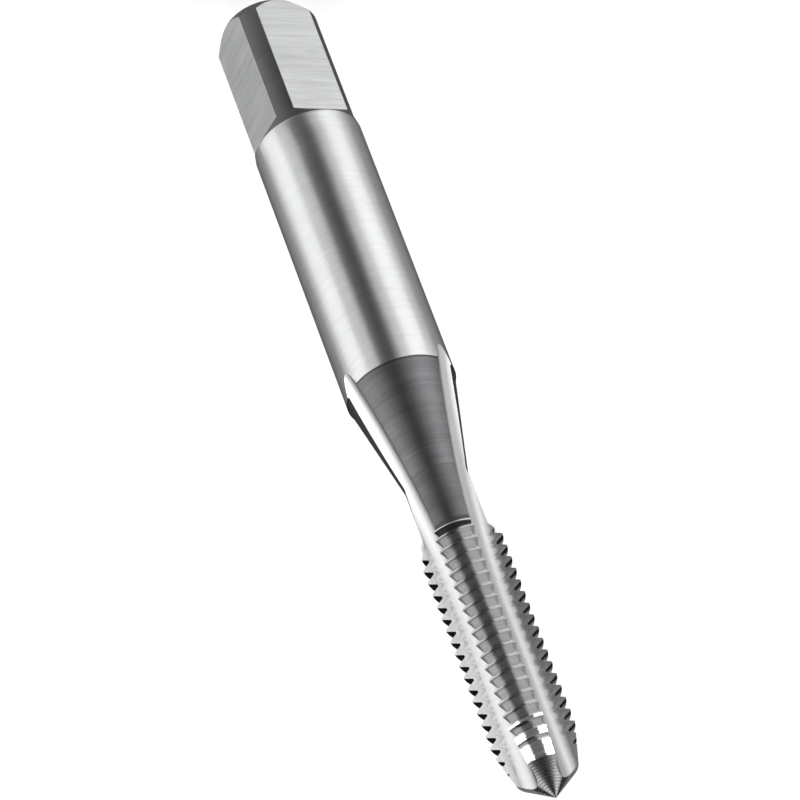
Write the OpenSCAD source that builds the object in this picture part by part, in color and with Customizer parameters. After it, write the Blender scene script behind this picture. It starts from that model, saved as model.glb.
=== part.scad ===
// Hand tap for a fine-pitch metric thread, ground from one bar of high-speed steel.
// It stands on its square end, with the point up the z axis. All sizes in millimetres.

/* [Square drive end] */
// Diameter across the rounded corners of the square
corner_d = 5.74; // [4.9:0.02:5.98]
// Distance across the flats of the square
across_flats = 4.74; // [4:0.02:5.3]
// Length of the flats from the end face
square_l = 8.1; // [6.5:0.05:10]
// Slope of the run-out at the end of each flat, from the axis
flat_runout_angle = 45; // [30:1:60]
// Diameter of the flat end face
end_face_d = 4.6; // [3.8:0.1:4.8]
// Length of the chamfer between the end face and the corners
end_chamfer_l = 0.78; // [0.6:0.02:1]

/* [Shank] */
// Diameter of the ground shank
shank_d = 6.0; // [5.8:0.05:7.2]
// Length of the shoulder between the square and the ground shank
shoulder_l = 0.75; // [0.5:0.05:1.2]
// Length of the ground shank
shank_l = 17.1; // [14:0.05:21]

/* [Neck] */
// Depth of the small step from the ground shank to the neck
neck_step = 0.07; // [0.05:0.01:0.1]
// Length of the tapered part of the neck
neck_taper_l = 6.12; // [5:0.02:7.5]
// Length of the straight part of the neck
neck_straight_l = 3.45; // [2.8:0.05:4.2]
// How far the neck lies under the thread root
neck_clearance = 0.06; // [0.04:0.01:0.1]

/* [Thread] */
// Major diameter of the thread
thread_d = 4.5; // [3.8:0.05:5.4]
// Pitch of the thread
pitch = 0.75; // [0.6:0.05:0.9]
// Length from the first thread to the base of the point
thread_l = 15.2; // [12.5:0.1:18.5]
// Length of the bevel where the thread begins at the neck
thread_back_l = 0.9; // [0.7:0.02:1.1]
// Turn of the thread round the axis, in degrees
thread_turn = 0; // [0:5:360]

/* [Lead and point] */
// Length of the tapered lead on the first threads to cut
lead_l = 2.3; // [1.9:0.05:2.8]
// Diameter at the small end of the lead
lead_small_d = 3.35; // [2.75:0.05:4]
// Full angle of the point
point_angle = 95; // [79:1:114]
// Diameter of the tiny flat on the point
point_flat_d = 0.06; // [0.04:0.01:0.1]

/* [Flutes] */
// Number of straight flutes
flutes = 3; // [3:1:4]
// Diameter of the core left between the flutes
core_d = 1.64; // [1.36:0.02:1.98]
// Radius of the round floor of a flute
flute_floor_r = 1.03; // [0.85:0.01:1.24]
// How far the flute floor lies off the middle of the grinding wheel, towards the heel
flute_offset = 0.304; // [0.25:0.002:0.366]
// Slope of the cutting face from the plane of the wheel
cutting_face_angle = 17; // [14:0.2:21]
// Slope of the heel face from the plane of the wheel
heel_face_angle = 52.7; // [43:0.1:64]
// Radius of the wheel that grinds the flutes
wheel_r = 68.6; // [57:0.2:83]
// Length of full-depth flute behind the point
flute_full_l = 8.7; // [7:0.05:10.5]
// Turn of the flutes from the flats, in degrees
flute_turn = 114.6; // [0:0.1:120]

/* [Hidden] */
$fn = 96;

// Heights along the axis, from the end face up
z_shoulder = square_l - 0.05;
z_shank = z_shoulder + shoulder_l;
z_neck = z_shank + shank_l;
z_neck_step = z_neck + neck_step;
z_neck_straight = z_neck_step + neck_taper_l;
z_thread = z_neck_straight + neck_straight_l;
z_point = z_thread + thread_l;
z_lead = z_point - lead_l;

// Radii
shank_r = shank_d / 2;
corner_r = min(corner_d / 2, shank_r - 0.02);
flat_half = min(across_flats / 2, corner_r * 0.88);
end_r = min(end_face_d / 2, flat_half - 0.05);
thread_r = thread_d / 2;
thread_depth = 0.6134 * pitch;
root_r = thread_r - thread_depth;
neck_r = root_r - neck_clearance;
lead_small_r = min(lead_small_d / 2, root_r - 0.05);
point_flat_r = point_flat_d / 2;
point_l = (lead_small_r - point_flat_r) / tan(point_angle / 2);
total_l = z_point + point_l;

// Flute section: a round floor with a flat face on each side of it
core_r = core_d / 2;
floor_centre_r = core_r + flute_floor_r;
floor_y = sqrt(floor_centre_r * floor_centre_r - flute_offset * flute_offset);
floor_low = floor_y - flute_floor_r;
face_corner_angle = 8;
face_reach = flute_floor_r * cos(face_corner_angle);
face_l = shank_r + 1.2;
z_flute_full = z_point - flute_full_l;
wheel_sweep = acos(1 - (shank_r - floor_low + 0.25) / wheel_r);

// Thread groove: a 60 degree groove with a narrow flat floor and a flat crest left between turns
crest_flat = pitch / 8;
flank_slope = tan(30);
groove_out_r = thread_r + 0.05;
groove_half_out = (pitch - crest_flat) / 2 + (groove_out_r - thread_r) * flank_slope;
groove_half_root = (pitch - crest_flat) / 2 - thread_depth * flank_slope;
cutting_edge_turn = face_edge_turn(1, cutting_face_angle);
heel_edge_turn = face_edge_turn(-1, heel_face_angle);
land_middle = 180 / flutes - (cutting_edge_turn + heel_edge_turn) / 2;
land_margin = 12;
land_span = 360 / flutes - (cutting_edge_turn - heel_edge_turn) + 2 * land_margin;
groove_steps = 8;
groove_step_angle = land_span / groove_steps;
groove_cover = 1 / cos(groove_step_angle / 2);
groove_turns = floor((thread_l - 0.3) / pitch);
groove_start = z_thread + 0.1;

steel = [0.72, 0.73, 0.74];

function face_foot(side, angle) = [
    side * face_reach * cos(angle) - flute_offset,
    floor_y - face_reach * sin(angle)
];
function face_end(side, angle) = [
    face_foot(side, angle)[0] + side * face_l * sin(angle),
    face_foot(side, angle)[1] + face_l * cos(angle)
];

// Turn from the wheel's plane to the edge where a face of the flute meets the thread's outside
function face_edge_turn(side, angle) =
    let (
        foot = face_foot(side, angle),
        along = foot[0] * side * sin(angle) + foot[1] * cos(angle),
        reach = sqrt(along * along - foot * foot + thread_r * thread_r) - along
    )
    atan2(foot[0] + side * reach * sin(angle), foot[1] + reach * cos(angle));

// Blank: the turned outline of the tap, before flats, flutes and thread
module blank() {
    rotate_extrude()
        polygon([
            [0, 0],
            [end_r, 0],
            [corner_r, end_chamfer_l],
            [corner_r, z_shoulder],
            [shank_r, z_shank],
            [shank_r, z_neck],
            [shank_r - neck_step, z_neck_step],
            [neck_r, z_neck_straight],
            [neck_r, z_thread],
            [thread_r, z_thread + thread_back_l],
            [thread_r, z_lead],
            [lead_small_r, z_point],
            [point_flat_r, total_l],
            [0, total_l]
        ]);
}

// Flat: what the grinding wheel takes off one side of the square
module flat_cut() {
    runout_rise = shank_r - flat_half + 0.6;
    runout_l = runout_rise / tan(flat_runout_angle);
    translate([-shank_r - 1, 0, 0])
        rotate([90, 0, 90])
            linear_extrude(2 * shank_r + 2)
                polygon([
                    [flat_half, -1],
                    [flat_half + runout_rise, -1],
                    [flat_half + runout_rise, square_l + runout_l],
                    [flat_half, square_l]
                ]);
}

// Flute section, with the flute opening along +y and its cutting face on the +x side
module flute_section() {
    union() {
        translate([-flute_offset, floor_y])
            circle(r = flute_floor_r);
        polygon([
            face_foot(1, cutting_face_angle),
            face_end(1, cutting_face_angle),
            face_end(-1, heel_face_angle),
            face_foot(-1, heel_face_angle)
        ]);
    }
}

// Full-depth part of a flute, straight along the axis
module flute_straight() {
    translate([0, 0, z_flute_full])
        linear_extrude(total_l - z_flute_full + 1)
            flute_section();
}

// Run-out of a flute, where the round wheel leaves the steel
module flute_runout() {
    translate([0, floor_low + wheel_r, z_flute_full])
        rotate([0, 90, 0])
            rotate([0, 0, -90])
                rotate_extrude(angle = wheel_sweep, $fn = 720)
                    translate([wheel_r + floor_low, 0])
                        rotate(90)
                            flute_section();
}

// One flute, open along the x axis
module flute() {
    rotate(-90) {
        flute_straight();
        flute_runout();
    }
}

// Groove piece: the part of one turn of the thread groove that crosses one land
module groove_piece(middle, height) {
    first = middle - land_span / 2;
    angles = [for (i = [0 : groove_steps]) first + i * groove_step_angle];
    points = [for (a = angles, k = [0 : 3])
        let (
            outer = k == 0 || k == 3,
            r = outer ? groove_out_r * groove_cover : root_r,
            half = outer ? groove_half_out : groove_half_root,
            side = k < 2 ? -1 : 1
        )
        [r * cos(a), r * sin(a), height + pitch * a / 360 + side * half]
    ];
    walls = [for (i = [0 : groove_steps - 1], k = [0 : 3])
        let (here = 4 * i + k, next = 4 * i + (k + 1) % 4)
        each [[here, here + 4, next + 4], [here, next + 4, next]]
    ];
    last = 4 * groove_steps;
    caps = [[0, 1, 2], [0, 2, 3], [last, last + 2, last + 1], [last, last + 3, last + 2]];
    polyhedron(points = points, faces = concat(walls, caps), convexity = 4);
}

// Thread groove: every piece of the right-hand groove on every land
module thread_groove() {
    for (land = [0 : flutes - 1])
        for (turn = [-1 : groove_turns])
            groove_piece(
                flute_turn + land_middle + land * 360 / flutes,
                groove_start + pitch * (turn - thread_turn / 360)
            );
}

// Tap: the whole tool in one piece
module tap() {
    color(steel)
        difference() {
            difference() {
                blank();
                for (side = [0 : 3])
                    rotate(90 * side)
                        flat_cut();
                for (i = [0 : flutes - 1])
                    rotate(flute_turn + i * 360 / flutes)
                        flute();
            }
            thread_groove();
        }
}

tap();
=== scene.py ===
"""Ground hand tap with three flutes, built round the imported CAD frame.

The tap stands on its square end. One skin, worked out with numpy, follows the sizes
below and replaces the CAD node in the picture. Lengths are in metres, and angles in
degrees turn round the z axis.
"""

import math
from typing import NamedTuple

import bmesh
import bpy
import numpy as np
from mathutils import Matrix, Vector


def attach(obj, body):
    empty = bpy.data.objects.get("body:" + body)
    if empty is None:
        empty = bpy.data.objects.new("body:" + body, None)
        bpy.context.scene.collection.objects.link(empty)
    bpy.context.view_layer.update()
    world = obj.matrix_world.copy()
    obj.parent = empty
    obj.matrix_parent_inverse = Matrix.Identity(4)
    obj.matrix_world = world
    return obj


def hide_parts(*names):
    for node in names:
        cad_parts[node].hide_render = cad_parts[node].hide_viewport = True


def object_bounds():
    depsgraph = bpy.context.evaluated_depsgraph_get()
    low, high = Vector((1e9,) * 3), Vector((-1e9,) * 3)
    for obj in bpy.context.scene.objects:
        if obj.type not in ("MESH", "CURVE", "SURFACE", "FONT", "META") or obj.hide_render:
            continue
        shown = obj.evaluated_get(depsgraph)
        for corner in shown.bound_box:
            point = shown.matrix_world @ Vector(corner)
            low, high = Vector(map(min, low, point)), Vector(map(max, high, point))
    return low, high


bl_info = {
    "name": "Ground hand tap",
    "version": (1, 0, 0),
    "blender": (4, 5, 0),
    "location": "3D View > Sidebar > Hand tap",
    "description": "Skin, ground finishes, studio and camera for a hand tap with three flutes",
    "category": "Object",
}

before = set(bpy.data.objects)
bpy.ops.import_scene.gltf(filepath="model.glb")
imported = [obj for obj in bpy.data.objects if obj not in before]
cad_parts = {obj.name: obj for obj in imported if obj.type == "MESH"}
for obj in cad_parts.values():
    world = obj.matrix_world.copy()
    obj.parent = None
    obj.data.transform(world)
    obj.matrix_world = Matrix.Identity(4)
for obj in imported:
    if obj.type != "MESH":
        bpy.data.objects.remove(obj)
cad_low, cad_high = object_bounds()


def length(name, default, description):
    """A length in metres."""
    return bpy.props.FloatProperty(name=name, description=description, default=default,
                                   min=0.0, precision=6, subtype="DISTANCE", unit="LENGTH")


def turn(name, default, description):
    """An angle, kept in radians and written here in degrees."""
    return bpy.props.FloatProperty(name=name, description=description,
                                   default=math.radians(default), subtype="ANGLE")


def paint(name, default, description):
    """A linear colour."""
    return bpy.props.FloatVectorProperty(name=name, description=description, size=3,
                                         default=default, min=0.0, max=1.0, subtype="COLOR")


class TapSizes(bpy.types.PropertyGroup):
    """Sizes of the tap, as the CAD model has them."""
    corner_d: length("Square corners", 0.00574, "Diameter across the corners of the square")
    across_flats: length("Across flats", 0.00474, "Distance across the flats")
    square_l: length("Square length", 0.0081, "Length of the flats")
    end_face_d: length("End face", 0.0046, "Diameter of the flat end face")
    end_chamfer_l: length("End chamfer", 0.00078, "Length of the chamfer round the end face")
    shank_d: length("Shank", 0.006, "Diameter of the ground shank")
    shoulder_l: length("Shoulder", 0.00075, "Length of the shoulder")
    shank_l: length("Shank length", 0.0171, "Length of the ground shank")
    neck_step: length("Neck step", 0.00007, "Depth of the step from the shank to the neck")
    neck_taper_l: length("Neck taper", 0.00612, "Length of the tapered neck")
    neck_straight_l: length("Straight neck", 0.00345, "Length of the straight neck")
    neck_clearance: length("Neck clearance", 0.00006, "How far the neck lies under the thread root")
    thread_d: length("Thread", 0.0045, "Major diameter of the thread")
    pitch: length("Pitch", 0.00075, "Pitch of the thread")
    thread_l: length("Thread length", 0.0152, "Length from the first thread to the point")
    thread_back_l: length("Thread bevel", 0.0009, "Length of the bevel at the neck")
    lead_l: length("Lead", 0.0023, "Length of the tapered lead")
    lead_small_d: length("Lead small end", 0.00335, "Diameter at the small end of the lead")
    point_flat_d: length("Point flat", 0.00006, "Diameter of the tiny flat on the point")
    core_d: length("Core", 0.00164, "Diameter of the core between the flutes")
    flute_floor_r: length("Flute floor", 0.00103, "Radius of the floor of a flute")
    flute_offset: length("Flute offset", 0.000304, "Floor off the wheel's middle, to the heel")
    cutting_face: turn("Cutting face", 17.0, "Slope of the cutting face from the wheel's plane")
    heel_face: turn("Heel face", 52.7, "Slope of the heel face from the wheel's plane")
    wheel_r: length("Wheel", 0.0686, "Radius of the wheel that grinds the flutes")
    flute_full_l: length("Full flute", 0.0087, "Length of full-depth flute behind the point")
    flute_turn: turn("Flute turn", 114.6, "Turn of the flutes from the flats")


class SteelColours(bpy.types.PropertyGroup):
    """Colours of the ground steel, by zone; those of the edges and cutting faces are painted shade.
    """
    shank: paint("Shank", (0.48, 0.485, 0.49), "Finely ground shank")
    flats: paint("Flats", (0.39, 0.395, 0.4), "Ground flats of the square")
    # The edges colour is painted shade on the corners, chamfer, shoulder and end face, for their
    # dark reflections
    edges: paint("Edges", (0.12, 0.122, 0.125), "Corners, chamfer and shoulder")
    neck: paint("Neck", (0.12, 0.122, 0.125), "Dull turned neck")
    flutes: paint("Flutes", (0.82, 0.825, 0.83), "Bright ground flutes")
    # The cutting faces' darker colour is painted shade
    cutting: paint("Cutting faces", (0.3, 0.305, 0.31), "Cutting faces of the flutes")
    thread: paint("Thread", (0.6, 0.605, 0.61), "Ground flanks of the thread")
    crest: paint("Crests", (0.5, 0.505, 0.51), "Ground crests of the thread")
    point: paint("Point", (0.66, 0.665, 0.67), "Turned point")
    floor: paint("Floor", (0.95, 0.95, 0.95), "Pale floor")


class StudioSizes(bpy.types.PropertyGroup):
    """Camera and lamps."""
    camera_place: bpy.props.FloatVectorProperty(
        name="Camera", description="Where the camera stands", size=3, precision=5,
        default=(0.14351495, -0.21074468, 0.20201817), subtype="TRANSLATION", unit="LENGTH")
    camera_turn: bpy.props.FloatVectorProperty(
        name="Camera turn", description="Turn of the camera", size=3, precision=5,
        default=(math.radians(-53.61871), math.radians(-16.990073), math.radians(-157.949520)),
        subtype="EULER")
    lens_mm: bpy.props.FloatProperty(name="Lens", description="Focal length on a 36 mm sensor",
                                     default=266.1918, min=1.0)
    floor_r: length("Floor", 3.0, "Radius of the floor")
    azimuth: turn("Camera azimuth", -55.8, "Direction from the tap to the camera")


THREAD_DEPTH = 0.6134       # depth of the 60 degree thread, in pitches
SHOULDER_OVERLAP = 0.00005  # how far the flats run into the shoulder
THREAD_START, THREAD_FULL, LEAD_START = 7, 8, 9  # their places in the outline


def outline(s):
    """Turned outline of the blank: heights and radii from the end face up to the point."""
    shank_r = s.shank_d / 2
    root_r = s.thread_d / 2 - THREAD_DEPTH * s.pitch
    neck_r = root_r - s.neck_clearance
    z_shoulder = s.square_l - SHOULDER_OVERLAP
    z_shank = z_shoulder + s.shoulder_l
    z_neck = z_shank + s.shank_l
    z_step = z_neck + s.neck_step
    z_straight = z_step + s.neck_taper_l
    z_thread = z_straight + s.neck_straight_l
    z_point = z_thread + s.thread_l
    z = [0, s.end_chamfer_l, z_shoulder, z_shank, z_neck, z_step, z_straight, z_thread,
         z_thread + s.thread_back_l, z_point - s.lead_l, z_point, cad_high[2]]
    r = [s.end_face_d / 2, s.corner_d / 2, s.corner_d / 2, shank_r, shank_r,
         shank_r - s.neck_step, neck_r, neck_r, s.thread_d / 2, s.thread_d / 2,
         s.lead_small_d / 2, s.point_flat_d / 2]
    return np.array(z, float), np.array(r, float)


FLOOR_ARC = math.radians(98)  # the floor's arc on each side, less the slope of the face
LONGEST_WAY = 0.006           # a way that ends well outside the blank
HALVINGS = 36                 # rounds of a search by halving


class Flute:
    """One ground flute: a round floor between two flat faces, lifted out by a round wheel.

    A point of the section is named by its way along it from the bottom of the floor, plus
    towards the cutting face. Below full depth each point moves out along the wheel's arc:
    y becomes A - sqrt((A - y)^2 - d^2), A the wheel's centre and d the way past full depth.
    """

    def __init__(self, s, z_point):
        core = s.core_d / 2 + s.flute_floor_r
        self.r, self.off = s.flute_floor_r, s.flute_offset
        self.y = math.sqrt(core * core - self.off * self.off)
        self.cut, self.heel = s.cutting_face, s.heel_face
        self.to_cut = FLOOR_ARC - self.cut
        self.to_heel = FLOOR_ARC - self.heel
        self.axis = self.y - self.r + s.wheel_r
        self.z_full = z_point - s.flute_full_l

    def at(self, way, z):
        """Place (x to the cutting side, y outwards) of the section's point at height z."""
        a = np.clip(way / self.r, -self.to_heel, self.to_cut)
        over = way - a * self.r
        x = self.r * np.sin(a) - self.off
        x = x + over * np.where(over > 0, math.sin(self.cut), math.sin(self.heel))
        y = self.y - self.r * np.cos(a)
        y = y + over * np.where(over > 0, math.cos(self.cut), -math.cos(self.heel))
        d = np.maximum(self.z_full - z, 0)
        return x, self.axis - np.sqrt(np.maximum((self.axis - y) ** 2 - d * d, 0))

    def nearest(self, z):
        """The way to the floor's point nearest the tap's axis, and its radius."""
        x, y = self.at(np.zeros_like(z), z)
        way = self.r * np.arctan2(self.off, y + self.r)
        return way, np.hypot(*self.at(way, z))

    def edge(self, radius, z, side):
        """The way at which the section reaches a radius, found by halving."""
        near, _ = self.nearest(z)
        low, high = near, near + side * LONGEST_WAY
        for _ in range(HALVINGS):
            middle = (low + high) / 2
            inside = np.hypot(*self.at(middle, z)) < radius
            low, high = np.where(inside, middle, low), np.where(inside, high, middle)
        return (low + high) / 2

    def angle(self, way, z, middle):
        """Angle round the tap of the section's point, for a flute at angle middle."""
        x, y = self.at(way, z)
        return middle - np.arctan2(x, y)


FLUTE_STEPS = 36
LAND_STEPS = 28
SECTOR = FLUTE_STEPS + LAND_STEPS
COLUMNS = 3 * SECTOR
SQUARE_STEPS = COLUMNS // 8
GROOVES = 21
ROWS_PER_GROOVE = 7
CREST_PARTS = 4          # rows on a crest cut it into this many parts
CREST_FLAT = 1 / 8       # flat crest left between turns, in pitches
GROOVE_START = 0.0001    # height of the first groove over the start of the thread
FLANK_SLOPE = math.tan(math.radians(30))
FLANK_ROUNDS = 8         # rounds of the search for where a flank meets the blank
LEAST_HALF = 0.4         # least half width of a groove at the blank, by that of its floor
FLOOR_SHARE = 0.6        # most of a groove's half width that its floor takes


def thread_rows(s, zs, rs):
    """Makes the function that gives the heights and radii of one land's threaded rows.

    Row i belongs to groove i // 7: lower edge, two rows at the floor, upper edge and three
    rows on the crest above it. An edge is where the groove's 60 degree flank meets the blank,
    and a crest row moves to the height where the blank's outline has a corner.
    """
    depth = THREAD_DEPTH * s.pitch
    root_r = s.thread_d / 2 - depth
    floor_half = (s.pitch - s.pitch * CREST_FLAT) / 2 - depth * FLANK_SLOPE
    start = zs[THREAD_START] + GROOVE_START
    corners = (zs[THREAD_START], zs[THREAD_FULL], zs[LEAD_START])

    def half(z):
        """Half width of a groove where its flank meets the blank at height z."""
        wide = floor_half + (np.interp(z, zs, rs) - root_r) * FLANK_SLOPE
        return np.maximum(wide, LEAST_HALF * floor_half)

    def edges(centre):
        low, high = centre - floor_half, centre + floor_half
        for _ in range(FLANK_ROUNDS):
            low, high = centre - half(low), centre + half(high)
        return low, high

    def heights(a):
        """Heights and radii; a has a row of angles for each thread row, or one angle."""
        a = np.asarray(a, float)
        rows = np.arange(len(a)).reshape([-1] + [1] * (a.ndim - 1))
        kind = rows % ROWS_PER_GROOVE
        turns = rows // ROWS_PER_GROOVE - 1 + a / (2 * math.pi)
        centre = start + s.pitch * turns
        low, high = edges(centre)
        above, _ = edges(centre + s.pitch)
        widest = np.maximum(high - centre, centre - low)
        inner = np.minimum(floor_half, FLOOR_SHARE * widest)
        crest = high + (above - high) * (kind - 3) / CREST_PARTS
        for corner in corners:
            at = (corner - high) / (above - high)
            nearest = np.clip(np.round(at * CREST_PARTS), 1, CREST_PARTS - 1)
            crest = np.where((at > 0) & (at < 1) & (nearest == kind - 3), corner, crest)
        z = np.choose(np.minimum(kind, 4) + 0 * centre.astype(int),
                      [low, centre - inner, centre + inner, high, crest])
        groove = root_r + np.maximum(np.abs(z - centre) - floor_half, 0) / FLANK_SLOPE
        r = np.interp(z, zs, rs)
        return z, np.where(kind < 4, np.minimum(r, groove), r)

    return heights


def wrapped(angle):
    """An angle brought between half a turn back and half a turn on."""
    return np.angle(np.exp(1j * angle))


def spaced(first, last, count, power=1.0):
    """Heights from first to last, closer together near first when power is over 1."""
    return first + (last - first) * (np.arange(count + 1) / count) ** power


def square_row(s, z, zs, rs):
    """Angles and radii of one row through the square: four flats and four round corners."""
    flat = s.across_flats / 2 + max(z - s.square_l, 0)
    r = float(np.interp(z, zs, rs))
    half = math.acos(min(flat / r, 1.0))
    quarter = math.pi / 2
    angles, radii = [], []
    for side in range(4):
        middle = quarter + side * quarter
        flats = np.linspace(-half, half, SQUARE_STEPS, endpoint=False)
        corners = np.linspace(half, quarter - half, SQUARE_STEPS, endpoint=False)
        angles += [middle + flats, middle + corners]
        radii += [np.where(half > 0, flat, r) / np.cos(flats), np.full(SQUARE_STEPS, r)]
    return np.concatenate(angles), np.concatenate(radii)


NECK_GAP = 0.00095  # room between the last plain row of the neck and the thread
EDGE_GUESS = 0.55   # first guess of the angle from a flute's middle to its edge
EDGE_ROUNDS = 6


def tap_skin(s):
    """The whole skin as one grid: rows go up the tap and columns go round it.

    Round the square a row is r = flat / cos(a) on a flat and the blank's radius on a corner.
    In the flutes it runs along the ground section, from the cutting edge over the floor to
    the heel edge. On a land it is the lesser of the blank and the thread groove. Returns
    places (rows, columns, 3), the way across the flutes, and each row's zone, first for the
    lands and then for the flutes.
    """
    zs, rs = outline(s)
    _, z_chamfer, z_shoulder, z_shank, z_neck, z_step, z_straight, z_thread = zs[:8]
    z_point, z_top = zs[-2:]
    flute = Flute(s, z_point)
    period = 2 * math.pi / 3
    middles = s.flute_turn + period * np.arange(3)

    def meets(z):
        """Blank radius less the flute's least radius: over zero where the flute cuts."""
        return np.interp(z, zs, rs) - flute.nearest(np.asarray(z, float))[1]

    def crossing(low, high):
        """The height between low and high where a flute starts or stops to cut."""
        for _ in range(HALVINGS):
            z = (low + high) / 2
            low, high = (z, high) if (meets(z) > 0) == (meets(low) > 0) else (low, z)
        return (low + high) / 2

    z_out = crossing(z_shank, z_neck)
    z_shut = crossing(z_point, z_top)

    places, ways, lands, flutes_zone = [], [], [], []

    def add(a, r, z, zone):
        """One row without flutes."""
        z = np.broadcast_to(z, a.shape)
        places.append(np.stack([r * np.cos(a), r * np.sin(a), z], -1))
        ways.append(np.zeros(COLUMNS))
        lands.append(zone)
        flutes_zone.append(zone)

    # Square end, with the flats as their own columns: a flat begins on the chamfer at
    # z_first, and its 45 degree run-out ends on the shoulder at z_gone
    half_flat = s.across_flats / 2
    z_first = z_chamfer * (half_flat - rs[0]) / (rs[1] - rs[0])
    rise = (rs[3] - rs[2]) / (z_shank - z_shoulder)
    z_gone = (rs[2] - rise * z_shoulder - half_flat + s.square_l) / (1 - rise)
    a, r = square_row(s, 0.0, zs, rs)
    for part in (0.5, 1.0):
        add(a, r * part, 0.0, "end")
    levels = np.concatenate([
        spaced(z_first, z_chamfer, 12, 2)[:-1], spaced(z_chamfer, z_shoulder, 10),
        spaced(z_gone, s.square_l, 12, 2)[::-1]])
    for z in levels:
        a, r = square_row(s, float(z), zs, rs)
        add(a, r, z, "square")
    shut_square = a

    # Plain shank: the columns move over from the corners to the flutes and lands
    def closed(z):
        """Angles of a row where the flutes have no width."""
        way = flute.nearest(np.asarray(z, float))[0]
        centre = flute.angle(way, z, middles)
        row = []
        for k in range(3):
            row += [np.full(FLUTE_STEPS, centre[k]),
                    centre[k] + period * np.arange(LAND_STEPS) / LAND_STEPS]
        return np.concatenate(row)

    shut_flutes = closed(z_out)
    first = int(np.argmin(np.abs(wrapped(shut_square - shut_flutes[0]))))
    places[:] = [np.roll(row, -first, axis=0) for row in places]
    shut_square = np.roll(shut_square, -first)
    start = shut_flutes[0] + wrapped(shut_square[0] - shut_flutes[0])
    shut_square = start + np.unwrap(shut_square - shut_square[0])
    for z in np.concatenate([[z_shank], spaced(z_out, z_shank, 16, 1.5)[::-1][1:]]):
        t = (z - z_gone) / (z_out - z_gone)
        a = shut_square + (shut_flutes - shut_square) * t
        add(a, np.interp(z, zs, rs), z, "shank")

    # Fluted part: every row is a height for each column of each land
    plain_low = np.concatenate([
        spaced(z_out, z_neck, 14, 2)[1:], [z_step],
        spaced(z_step, z_straight, 26)[1:], spaced(z_straight, z_thread - NECK_GAP, 8)[1:]])
    plain_high = np.concatenate([
        [z_point], spaced(z_shut, z_point, 16, 2)[::-1][1:-1]])

    def fluted(height_of, rows):
        """Places of the fluted rows; height_of gives height and radius for angles on a land."""
        edge = {}
        for k in range(3):
            for side, flute_no in ((-1, k), (1, k + 1)):
                # The third land's angles are a turn back, so that they go on round the tap
                middle = s.flute_turn + period * flute_no - (2 * math.pi if k == 2 else 0)
                a = np.full(rows, middle - side * EDGE_GUESS)
                for _ in range(EDGE_ROUNDS):
                    z, r = height_of(a)
                    way = flute.edge(r, z, side)
                    a = flute.angle(way, z, middle)
                edge[k, side] = (a, z, way)
        grid = np.zeros((rows, COLUMNS, 4))
        for k in range(3):
            # flute k, from the cutting edge of the land before to the heel edge of land k
            before = (k + 2) % 3
            _, z0, w0 = edge[before, 1]
            _, z1, w1 = edge[k, -1]
            t = np.arange(FLUTE_STEPS) / FLUTE_STEPS
            z = z0[:, None] + (z1 - z0)[:, None] * t
            way = w0[:, None] + (w1 - w0)[:, None] * t
            x, y = flute.at(way, z)
            a, r = middles[k] - np.arctan2(x, y), np.hypot(x, y)
            c = k * SECTOR
            grid[:, c:c + FLUTE_STEPS] = np.stack([r * np.cos(a), r * np.sin(a), z, way], -1)
            a0, a1 = edge[k, -1][0], edge[k, 1][0]
            t = np.arange(LAND_STEPS) / LAND_STEPS
            a = a0[:, None] + (a1 - a0)[:, None] * t
            z, r = height_of(a)
            c += FLUTE_STEPS
            edge_way = np.where(t < 0.5, w1[:, None], edge[k, 1][2][:, None])
            grid[:, c:c + LAND_STEPS] = np.stack(
                [r * np.cos(a), r * np.sin(a), z, edge_way], -1)
        return grid

    def level(heights):
        """The height_of for rows that are level, as they are off the thread."""
        def height_of(a):
            a = np.asarray(a)
            z = np.broadcast_to(heights.reshape([-1] + [1] * (a.ndim - 1)), a.shape)
            return z, np.interp(z, zs, rs)
        return height_of

    def add_fluted(rows, zones):
        """Rows with flutes, and the zone of each on its lands."""
        for row, zone in zip(rows, zones):
            places.append(row[:, :3])
            ways.append(row[:, 3])
            lands.append(zone)
            flutes_zone.append("flute")

    # The last groove has no crest over it
    count = ROWS_PER_GROOVE * GROOVES - (CREST_PARTS - 1)
    add_fluted(fluted(level(plain_low), len(plain_low)),
               ["shank" if z <= z_neck else "neck" for z in plain_low])
    add_fluted(fluted(thread_rows(s, zs, rs), count),
               ["thread" if row % ROWS_PER_GROOVE in (1, 2, 3) else "crest"
                for row in range(count)])
    add_fluted(fluted(level(plain_high), len(plain_high)),
               ["crest" if z <= z_point else "point" for z in plain_high])

    # Point: the lands close up round the tip
    a = closed(z_shut)
    for z in spaced(z_shut, z_top, 8):
        add(a, np.interp(z, zs, rs), z, "point")
    return np.array(places), np.array(ways), lands, flutes_zone


class Look(NamedTuple):
    """How one zone of the steel was ground or turned."""
    colour: str         # name of its colour in SteelColours
    lines: tuple        # grinding lines, as noise cycles per metre along x, y and z
    tilt: tuple         # turn of the lines about x, y and z, in degrees
    contrast: float     # how far the tone strays from the colour
    roughness: tuple    # least and most
    depth: float        # depth of the lines, in metres
    spread: float       # how far the gloss spreads across the lines
    rim: float          # brightness of the rim
    fleck: float        # strength of the bright scratches
    rings: float = 0.0  # share of turned rings in the tone


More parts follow.
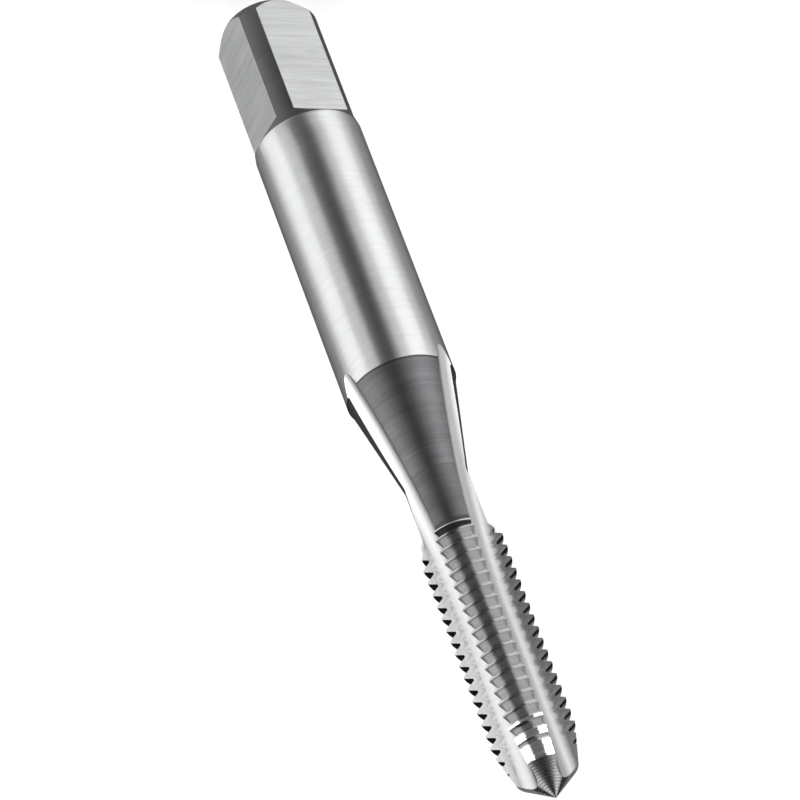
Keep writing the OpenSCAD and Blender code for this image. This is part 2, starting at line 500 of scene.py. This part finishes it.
LOOKS = {
    "square_flat": Look("flats", (350, 350, 9000), (3.5, 3.5, 0), 0.28, (0.36, 0.5),
                        0.000003, 0.8, 0.5, 0.3),
    # The corners, chamfer, shoulder and end face take the edges colour, which is painted shade
    "dark_edge": Look("edges", (500, 500, 9000), (0, 0, 0), 0.2, (0.4, 0.52),
                      0.000002, 0.7, 0.4, 0.1),
    "shank_ground": Look("shank", (1300, 1300, 19000), (0, 0, 0), 0.15, (0.33, 0.39),
                         0.0000012, 0.99, 0.06, 0.1),
    "neck_dull": Look("neck", (300, 300, 11000), (0.5, 0, 0), 0.25, (0.48, 0.6),
                      0.000003, 0.7, 0.3, 0.18),
    "flute_ground": Look("flutes", (9000, 9000, 220), (0, 0, 0), 0.14, (0.28, 0.34),
                         0.0000015, 0.3, 0.3, 0.12),
    "thread_ground": Look("thread", (500, 500, 16000), (0, 0, 0), 0.18, (0.12, 0.16),
                          0.0000015, 0.4, 0.12, 0.12),
    "thread_crest": Look("crest", (500, 500, 16000), (0, 0, 0), 0.12, (0.11, 0.15),
                         0.000001, 0.6, 0.2, 0.1),
    "point_turned": Look("point", (120, 120, 12000), (0, 0, 0), 0.35, (0.24, 0.32),
                         0.0000025, 0.6, 0.15, 0.2, rings=0.55),
    "thread_bevel": Look("neck", (300, 300, 11000), (0.5, 0, 0), 0.25, (0.4, 0.5),
                         0.000002, 0.7, 0.3, 0.1),
}
FINISH = {name: number for number, name in enumerate(LOOKS)}
ZONE_FINISH = {"end": "dark_edge", "square": "dark_edge", "shank": "shank_ground",
               "neck": "neck_dull", "thread": "thread_ground", "crest": "thread_crest",
               "point": "point_turned", "flute": "flute_ground"}

FLAT_LOW, FLAT_HIGH = 0.999, 1.0005  # a face's reach on a flat, against half the distance
END_Z = 0.0001                       # height under which a face belongs to the end face
MERGE = 2e-7
SHARP = math.radians(9)


def grid_mesh(name, places, ways, lands, flutes_zone, s):
    """Closed mesh over the grid, with a point in the middle of each end.

    A quad joins neighbours in a row and the next row, a triangle each end point. Columns
    that meet are merged, and edges sharper than 9 degrees stay sharp.
    """
    rows, columns = places.shape[:2]
    points = np.concatenate([places.reshape(-1, 3), [[0, 0, 0]], [[0, 0, cad_high[2]]]])
    i, j = np.meshgrid(np.arange(rows - 1), np.arange(columns), indexing="ij")
    k = (j + 1) % columns
    quads = np.stack([i * columns + j, i * columns + k, (i + 1) * columns + k,
                      (i + 1) * columns + j], -1).reshape(-1, 4)
    column = np.arange(columns)
    following = (column + 1) % columns
    end = rows * columns
    bottom = np.stack([np.full(columns, end), following, column], -1)
    last = (rows - 1) * columns
    top = np.stack([np.full(columns, end + 1), last + column, last + following], -1)

    in_flute = column % SECTOR < FLUTE_STEPS
    land_finish = np.array([FINISH[ZONE_FINISH[zone]] for zone in lands[1:]])
    flute_finish = np.array([FINISH[ZONE_FINISH[zone]] for zone in flutes_zone[1:]])
    finish = np.where(in_flute, flute_finish[:, None], land_finish[:, None]).reshape(-1)
    centres = points[quads].mean(1)
    z = centres[:, 2]
    reach = np.abs(centres[:, :2]).max(1) / (s.across_flats / 2)
    on_flat = (reach > FLAT_LOW) & (reach < FLAT_HIGH) & (z > END_Z) & (z < s.square_l)
    finish[on_flat] = FINISH["square_flat"]
    on_land = np.isin(finish, [FINISH["thread_ground"], FINISH["thread_crest"]])
    on_bevel = z - outline(s)[0][THREAD_START] < s.thread_back_l
    finish[on_land & on_bevel] = FINISH["thread_bevel"]
    finish = np.concatenate([finish, np.full(columns, FINISH["dark_edge"]),
                             np.full(columns, FINISH["point_turned"])])

    faces = quads.tolist() + bottom.tolist() + top.tolist()
    mesh = bpy.data.meshes.new(name)
    mesh.from_pydata(points, [], faces)
    way_mm = mesh.attributes.new("way", "FLOAT", "POINT")
    way_mm.data.foreach_set("value", np.concatenate([ways.reshape(-1), [0, 0]]) * 1000)
    mesh.polygons.foreach_set("material_index", finish.astype(np.int32))
    mesh.polygons.foreach_set("use_smooth", np.ones(len(faces), bool))
    work = bmesh.new()
    work.from_mesh(mesh)
    bmesh.ops.remove_doubles(work, verts=work.verts, dist=MERGE)
    bmesh.ops.dissolve_degenerate(work, edges=work.edges, dist=MERGE)
    work.to_mesh(mesh)
    work.free()
    mesh.set_sharp_from_angle(angle=SHARP)
    mesh.update()
    return mesh


class Finish:
    """Nodes of a material or lamp: each method adds to them and returns an output."""

    def __init__(self, name, owner=None):
        self.owner = owner or bpy.data.materials.new(name)
        self.owner.use_nodes = True
        self.tree = self.owner.node_tree
        self.tree.nodes.clear()

    def node(self, kind, **settings):
        made = self.tree.nodes.new("ShaderNode" + kind)
        for key, value in settings.items():
            setattr(made, key, value)
        return made

    def plug(self, socket, value):
        """Link an output to a socket, or set the socket to a value."""
        if isinstance(value, bpy.types.NodeSocket):
            self.tree.links.new(value, socket)
        else:
            socket.default_value = value

    def maths(self, kind, a, b=0.0):
        made = self.node("Math", operation=kind)
        self.plug(made.inputs[0], a)
        self.plug(made.inputs[1], b)
        return made.outputs[0]

    def plus(self, a, b):
        return self.maths("ADD", a, b)

    def times(self, a, b):
        return self.maths("MULTIPLY", a, b)

    def object_place(self):
        return self.node("TexCoord").outputs["Object"]

    def split(self, vector):
        """The x, y and z of a vector."""
        made = self.node("SeparateXYZ")
        self.plug(made.inputs[0], vector)
        return made.outputs

    def between(self, value, low, high, first=0.0, last=1.0):
        """Goes from first to last while the value goes from low to high."""
        span = self.node("MapRange", clamp=True)
        self.plug(span.inputs["Value"], value)
        for key, number in (("From Min", low), ("From Max", high),
                            ("To Min", first), ("To Max", last)):
            span.inputs[key].default_value = number
        return span.outputs["Result"]

    def ramp(self, value, low, high, stops):
        """Grey level that goes from stop to stop, each a value between low and high."""
        made = self.node("ValToRGB")
        self.plug(made.inputs["Fac"], self.between(value, low, high))
        points = made.color_ramp.elements
        for _ in stops[2:]:
            points.new(1.0)
        for point, (at, level) in zip(points, stops):
            point.position = (at - low) / (high - low)
            point.color = (level, level, level, 1.0)
        return made.outputs["Color"]

    def blend(self, factor, first, last):
        made = self.node("Mix", data_type="RGBA")
        self.plug(made.inputs["Factor"], factor)
        self.plug(made.inputs["A"], first)
        self.plug(made.inputs["B"], last)
        return made.outputs["Result"]

    def shade(self, factor, colour, contrast):
        """The colour, from darker to lighter by the contrast."""
        return self.blend(factor, scaled(colour, 1 - contrast), scaled(colour, 1 + contrast))

    def grain(self, scale, tilt=(0, 0, 0), detail=4.0, rough=0.6, low=0.3, high=0.7):
        """Noise drawn out by a scale for each axis of Object coordinates, 0 to 1."""
        mapping = self.node("Mapping")
        self.plug(mapping.inputs["Vector"], self.object_place())
        mapping.inputs["Rotation"].default_value = [math.radians(t) for t in tilt]
        mapping.inputs["Scale"].default_value = scale
        noise = self.node("TexNoise")
        self.plug(noise.inputs["Vector"], mapping.outputs["Vector"])
        noise.inputs["Scale"].default_value = 1.0
        noise.inputs["Detail"].default_value = detail
        noise.inputs["Roughness"].default_value = rough
        return self.between(noise.outputs["Fac"], low, high)

    def rings(self, pitch):
        """Uneven turned rings round the axis, a pitch apart."""
        wave = self.node("TexWave", wave_type="BANDS", bands_direction="Z")
        self.plug(wave.inputs["Vector"], self.object_place())
        wave.inputs["Scale"].default_value = math.pi / 10 / pitch
        wave.inputs["Distortion"].default_value = 1.5
        wave.inputs["Detail"].default_value = 1.0
        wave.inputs["Detail Scale"].default_value = 0.3
        return wave.outputs["Fac"]

    def bump(self, height, depth):
        made = self.node("Bump")
        self.plug(made.inputs["Height"], height)
        made.inputs["Distance"].default_value = depth
        made.inputs["Strength"].default_value = 1.0
        return made.outputs["Normal"]

    def metal(self, colour, roughness, normal, spread, rim):
        """Ground metal: the gloss spreads along the axis, and the rim darkens."""
        shader = self.node("BsdfPrincipled")
        shader.inputs["Metallic"].default_value = 1.0
        shader.inputs["Anisotropic"].default_value = spread
        shader.inputs["Anisotropic Rotation"].default_value = 0.25
        shader.inputs["Specular Tint"].default_value = (rim, rim, rim, 1.0)
        self.plug(shader.inputs["Base Color"], colour)
        self.plug(shader.inputs["Roughness"], roughness)
        self.plug(shader.inputs["Normal"], normal)
        round_axis = self.node("Tangent", direction_type="RADIAL", axis="Z")
        self.plug(shader.inputs["Tangent"], round_axis.outputs["Tangent"])
        self.plug(self.node("OutputMaterial").inputs["Surface"], shader.outputs["BSDF"])
        return self.owner


def scaled(colour, by):
    """A colour made darker or lighter, with its alpha."""
    return (*(min(c * by, 1.0) for c in colour), 1.0)


SCRATCH = (0.8, 0.8, 0.81, 1.0)
CLOUD = (260, 260, 190)                        # scale of the soft clouds in the tone
SHARES = {"fine": 0.5, "broad": 0.3, "cloud": 0.2}
BROAD, SCRATCHED = 0.22, 0.55                  # scales of bands and scratches to the lines
RING_PITCH = 0.00011
RING_RELIEF = 4                                # relief of the rings to that of the lines

# Share of the bright colour across a flute, by the way in millimetres: painted highlight and
# painted shade for the flute's reflections, a bright heel face and floor, a painted highlight
# streak on the floor and a cutting face in painted shade
FLUTE_HALF = 1.6
FLUTE_PAINTED_LIGHT = ((-1.5, 0.95), (-0.3, 0.78), (0.1, 0.5), (0.4, 0.12), (0.58, 0.2),
               (0.8, 0.58), (1.05, 0.4), (1.3, 0.45), (1.6, 0.5))

# Heights over the start of the bevel, in metres, of its painted highlight line and band of painted
# shade
BEVEL_SPAN = 0.001
HIGHLIGHT_LINE = (0.00041, 0.00044, 0.0005, 0.00053)  # the painted highlight line begins, is full, fades, ends
CREST_EDGE = (0.00084, 0.00087)                    # where the crest's finish takes over from the painted shade
# grey of the painted highlight line
HIGHLIGHT_GREY = (0.9, 0.9, 0.91, 1.0)


def flute_painted_light(f, neck_tone_or_shade, bright):
    """Painted highlight and painted shade across a flute, between the painted-shade colour and the
    bright colour.
    """
    way = f.node("Attribute", attribute_name="way").outputs["Fac"]
    return f.blend(f.ramp(way, -FLUTE_HALF, FLUTE_HALF, FLUTE_PAINTED_LIGHT), neck_tone_or_shade, bright)


def bevel_painted_light(f, neck_tone_or_shade, colours, start):
    """Up the bevel: as the neck, a thin painted highlight line, then a dark band of painted shade
    to the crest.
    """
    z = f.split(f.object_place())[2]
    begins, full, fades, ends = (start + up for up in HIGHLIGHT_LINE)
    line = f.ramp(z, start, start + BEVEL_SPAN,
                  ((begins, 0.0), (full, 1.0), (fades, 1.0), (ends, 0.0)))
    base = f.blend(f.between(z, fades, ends), neck_tone_or_shade, scaled(colours.edges, 0.5))
    low, high = (start + up for up in CREST_EDGE)
    base = f.blend(f.between(z, low, high), base, scaled(colours.crest, 1))
    return f.blend(line, base, HIGHLIGHT_GREY)


def ground_finish(name, look, colours, z_bevel):
    """Ground steel: fine grinding lines, broader soft bands and a few brighter scratches."""
    f = Finish(name)
    fine = f.grain(look.lines, look.tilt, detail=5.0, rough=0.7)
    broad = f.grain([c * BROAD for c in look.lines], look.tilt, detail=3.0)
    cloud = f.grain(CLOUD, detail=3.0)
    scratch = f.grain([c * SCRATCHED for c in look.lines], [t * 1.6 + 1.5 for t in look.tilt],
                      detail=6.0, rough=0.85, low=0.66, high=0.74)
    tone = f.plus(f.plus(f.times(fine, SHARES["fine"]), f.times(broad, SHARES["broad"])),
                  f.times(cloud, SHARES["cloud"]))
    relief = f.plus(fine, f.plus(broad, scratch))
    if look.rings:
        rings = f.rings(RING_PITCH)
        tone = f.plus(f.times(tone, 1 - look.rings), f.times(rings, look.rings))
        relief = f.plus(relief, f.times(rings, RING_RELIEF * look.rings))
    base = f.shade(tone, getattr(colours, look.colour), look.contrast)
    # Flutes: painted highlight and painted shade across them, with the cutting faces' colour as the
    # painted shade
    if name == "flute_ground":
        base = flute_painted_light(f, f.shade(tone, colours.cutting, look.contrast), base)
    # Bevel: a painted highlight line, then a band of painted shade
    if name == "thread_bevel":
        base = bevel_painted_light(f, base, colours, z_bevel)
    base = f.blend(f.times(scratch, look.fleck), base, SCRATCH)
    least, most = look.roughness
    gloss = f.between(f.plus(fine, cloud), 0.0, 2.0, most, least)
    return f.metal(base, gloss, f.bump(relief, look.depth), look.spread, look.rim)


class HANDTAP_OT_skin(bpy.types.Operator):
    """Make the ground skin of the tap, with its flats, flutes and thread"""
    bl_idname = "hand_tap.skin"
    bl_label = "Tap skin"

    def execute(self, context):
        sizes = context.scene.tap_sizes
        mesh = grid_mesh("tap_skin", *tap_skin(sizes), sizes)
        z_bevel = float(outline(sizes)[0][THREAD_START])
        for name, look in LOOKS.items():
            mesh.materials.append(
                ground_finish(name, look, context.scene.tap_colours, z_bevel))
        skin = bpy.data.objects.new("tap_skin", mesh)
        context.scene.collection.objects.link(skin)
        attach(skin, "root")
        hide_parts("tap")
        return {"FINISHED"}


FLOOR_RINGS, FLOOR_SIDES = 24, 96
FLOOR_Z = -0.00002       # just under the end face
FLOOR_GLOW = 0.01        # share of the floor's own white
WORLD_GREY = 0.015
AIM = Vector((0.0, 0.0, 0.026))

# Name, degrees round the tap from the camera towards the picture's left, degrees up,
# distance, width, height and radiance
SOFTBOXES = (
    ("box_left", 57, 2.7, 0.8, 1.25, 0.07, 15.0),
    ("box_left_core", 64, 2.7, 0.8, 0.52, 0.07, 20.0),
    ("box_right", -57, 1.7, 0.8, 1.15, 0.1, 10.3),
    ("box_right_core", -58, 1.7, 0.8, 0.52, 0.1, 14.4),
    ("box_top_left", 90, 68, 0.9, 0.32, 0.42, 0.25),
    ("box_top_right", -90, 69, 0.9, 0.32, 0.42, 0.45),
    ("box_point_left", 80, 44, 0.9, 0.8, 0.45, 0.7),
    ("box_point_right", -75, 44, 0.9, 0.8, 0.45, 0.8))

FLOOR_LAMP = {"up": 35, "distance": 1.2, "power": 104.0}
WEDGE_MIDDLE, WEDGE_START = 0.257, -0.0033  # the dim wedge's middle line in the beam
WEDGE_HALF = 0.593
WEDGE_SOFT = (-0.002, 0.0025)               # from dim to lit across its edges
WEDGE_FOOT = (0.0015, 0.004)                # from lit to dim at the tap's foot
WEDGE_FAR = (0.05, 0.075)                   # from dim to lit at its far end
DIM, LIT = 0.04, 1.05                       # strengths of the beam
FALL = 1.43                                 # the lamp's distance along the floor to its height


def floor_mesh(radius):
    """Round floor: x = r cos(a), y = r sin(a) over rings r and directions a."""
    r = radius * (np.arange(1, FLOOR_RINGS + 1)[:, None] / FLOOR_RINGS) ** 3
    a = np.arange(FLOOR_SIDES) * 2 * math.pi / FLOOR_SIDES
    grid = np.stack([r * np.cos(a), r * np.sin(a),
                     np.full((FLOOR_RINGS, FLOOR_SIDES), FLOOR_Z)], -1)
    i, j = np.meshgrid(np.arange(FLOOR_RINGS - 1), np.arange(FLOOR_SIDES), indexing="ij")
    k = (j + 1) % FLOOR_SIDES
    inner, outer = i * FLOOR_SIDES, (i + 1) * FLOOR_SIDES
    quads = np.stack([inner + j, outer + j, outer + k, inner + k], -1).reshape(-1, 4)
    mesh = bpy.data.meshes.new("floor")
    mesh.from_pydata(grid.reshape(-1, 3), [], quads.tolist() + [list(range(FLOOR_SIDES))])
    return mesh


def floor_finish(colour):
    """Pale paper with a trace of its own white, for the camera, metal and glass to see."""
    f = Finish("pale_floor")
    paper = f.node("BsdfPrincipled")
    tone = f.grain((40, 40, 40), detail=3.0)
    f.plug(paper.inputs["Base Color"], f.blend(tone, scaled(colour, 0.985), scaled(colour, 1)))
    paper.inputs["Roughness"].default_value = 0.9
    paper.inputs["Specular IOR Level"].default_value = 0.1
    glow = f.node("Emission")
    glow.inputs["Strength"].default_value = 1.0
    rays = f.node("LightPath").outputs
    seen = f.maths("MAXIMUM", f.maths("MAXIMUM", rays["Is Camera Ray"], rays["Is Glossy Ray"]),
                   rays["Is Transmission Ray"])
    mix = f.node("MixShader")
    f.plug(mix.inputs[0], f.times(seen, FLOOR_GLOW))
    f.plug(mix.inputs[1], paper.outputs["BSDF"])
    f.plug(mix.inputs[2], glow.outputs["Emission"])
    f.plug(f.node("OutputMaterial").inputs["Surface"], mix.outputs["Shader"])
    return f.owner


def hang(lamp, azimuth, up, distance, target, lit):
    """Hang a lamp, its angles in radians, so that it faces the target and lights lit."""
    holder = bpy.data.objects.new(lamp.name, lamp)
    flat = distance * math.cos(up)
    place = Vector((flat * math.cos(azimuth), flat * math.sin(azimuth),
                    distance * math.sin(up))) + target
    holder.location = place
    holder.rotation_euler = (target - place).to_track_quat("-Z", "Y").to_euler()
    holder.light_linking.receiver_collection = lit
    bpy.context.scene.collection.objects.link(holder)


def softbox(name, wide, tall, radiance):
    """An area lamp; its power is radiance x pi x area."""
    lamp = bpy.data.lights.new(name, "AREA")
    lamp.shape = "RECTANGLE"
    lamp.size, lamp.size_y = wide, tall
    lamp.energy = radiance * math.pi * wide * tall
    return lamp


def floor_lamp(power):
    """A lamp on the camera's side that whitens the floor, with its beam shaped as a card would
    shape it.

    The shaped beam keeps a wedge of floor in front of the tap dim, which the steel mirrors as its
    dark stripe. In the beam, with x and y as slopes to the right and downwards from the
    tap's foot, the wedge is where |x - (WEDGE_MIDDLE y + WEDGE_START)| is under
    WEDGE_HALF y, and the light is 1 / (1 + FALL y)^4, which makes up for the floor's
    distance from the lamp.
    """
    lamp = bpy.data.lights.new("floor_lamp", "SPOT")
    lamp.energy = power
    lamp.spot_size = math.radians(140)
    lamp.spot_blend = 0.5
    lamp.shadow_soft_size = 0.005
    f = Finish("floor_lamp", lamp)
    x, y, z = f.split(f.node("TexCoord").outputs["Normal"])
    z = f.maths("ABSOLUTE", z)
    x, y = f.maths("DIVIDE", x, z), f.times(f.maths("DIVIDE", y, z), -1.0)
    middle = f.plus(f.times(y, WEDGE_MIDDLE), WEDGE_START)
    off = f.maths("ABSOLUTE", f.maths("SUBTRACT", x, middle))
    outside = f.maths("SUBTRACT", off, f.times(y, WEDGE_HALF))
    lit = f.maths("MAXIMUM", f.between(outside, *WEDGE_SOFT), f.between(y, *WEDGE_FAR))
    lit = f.maths("MAXIMUM", lit, f.between(y, *WEDGE_FOOT, 1.0, 0.0))
    nearness = f.maths("MAXIMUM", f.plus(f.times(y, FALL), 1.0), 0.5)
    glow = f.node("Emission")
    f.plug(glow.inputs["Strength"],
           f.times(f.between(lit, 0.0, 1.0, DIM, LIT), f.maths("POWER", nearness, -4.0)))
    f.plug(f.node("OutputLight").inputs["Surface"], glow.outputs["Emission"])
    return lamp


class HANDTAP_OT_stage(bpy.types.Operator):
    """Make the floor, the lamps and the camera"""
    bl_idname = "hand_tap.stage"
    bl_label = "Floor, lamps and camera"

    def execute(self, context):
        scene, studio = context.scene, context.scene.tap_studio
        floor = bpy.data.objects.new("floor", floor_mesh(studio.floor_r))
        floor.data.materials.append(floor_finish(scene.tap_colours.floor))
        scene.collection.objects.link(floor)

        world = bpy.data.worlds.new("studio")
        world.use_nodes = True
        sky = world.node_tree.nodes["Background"]
        sky.inputs["Color"].default_value = (WORLD_GREY, WORLD_GREY, WORLD_GREY, 1.0)
        scene.world = world

        # The softboxes light only the tap, and the floor has a lamp of its own
        only_floor = bpy.data.collections.new("lit_by_floor_lamp")
        only_floor.objects.link(floor)
        but_floor = bpy.data.collections.new("lit_by_softboxes")
        but_floor.objects.link(floor)
        but_floor.collection_objects[0].light_linking.link_state = "EXCLUDE"
        for name, left, up, distance, wide, tall, radiance in SOFTBOXES:
            hang(softbox(name, wide, tall, radiance), studio.azimuth + math.radians(left),
                 math.radians(up), distance, AIM, but_floor)
        hang(floor_lamp(FLOOR_LAMP["power"]), studio.azimuth, math.radians(FLOOR_LAMP["up"]),
             FLOOR_LAMP["distance"], Vector(), only_floor)

        camera = bpy.data.cameras.new("camera")
        camera.lens = studio.lens_mm
        camera.sensor_width = 36.0
        camera.clip_start = 0.01
        holder = bpy.data.objects.new("camera", camera)
        holder.location = studio.camera_place
        holder.rotation_euler = studio.camera_turn
        scene.collection.objects.link(holder)
        scene.camera = holder
        scene.view_settings.view_transform = "Standard"
        return {"FINISHED"}


class HANDTAP_PT_panel(bpy.types.Panel):
    """Lists the pieces of the tap and its sizes"""
    bl_idname = "HANDTAP_PT_panel"
    bl_label = "Hand tap"
    bl_space_type = "VIEW_3D"
    bl_region_type = "UI"
    bl_category = "Hand tap"

    def draw(self, context):
        layout = self.layout
        for name in ("tap_sizes", "tap_colours", "tap_studio"):
            group = getattr(context.scene, name)
            box = layout.box()
            for key in group.__annotations__:
                box.prop(group, key)
        for step in STEPS:
            layout.operator(step.bl_idname)


STEPS = (HANDTAP_OT_skin, HANDTAP_OT_stage)
GROUPS = {"tap_sizes": TapSizes, "tap_colours": SteelColours, "tap_studio": StudioSizes}


def register():
    for group in GROUPS.values():
        bpy.utils.register_class(group)
    for step in (*STEPS, HANDTAP_PT_panel):
        bpy.utils.register_class(step)
    for name, group in GROUPS.items():
        setattr(bpy.types.Scene, name, bpy.props.PointerProperty(type=group))


def unregister():
    for name in GROUPS:
        delattr(bpy.types.Scene, name)
    for step in (HANDTAP_PT_panel, *reversed(STEPS)):
        bpy.utils.unregister_class(step)
    for group in reversed(list(GROUPS.values())):
        bpy.utils.unregister_class(group)


def main():
    register()
    bpy.ops.hand_tap.skin()
    bpy.ops.hand_tap.stage()


if __name__ == "__main__":
    main()
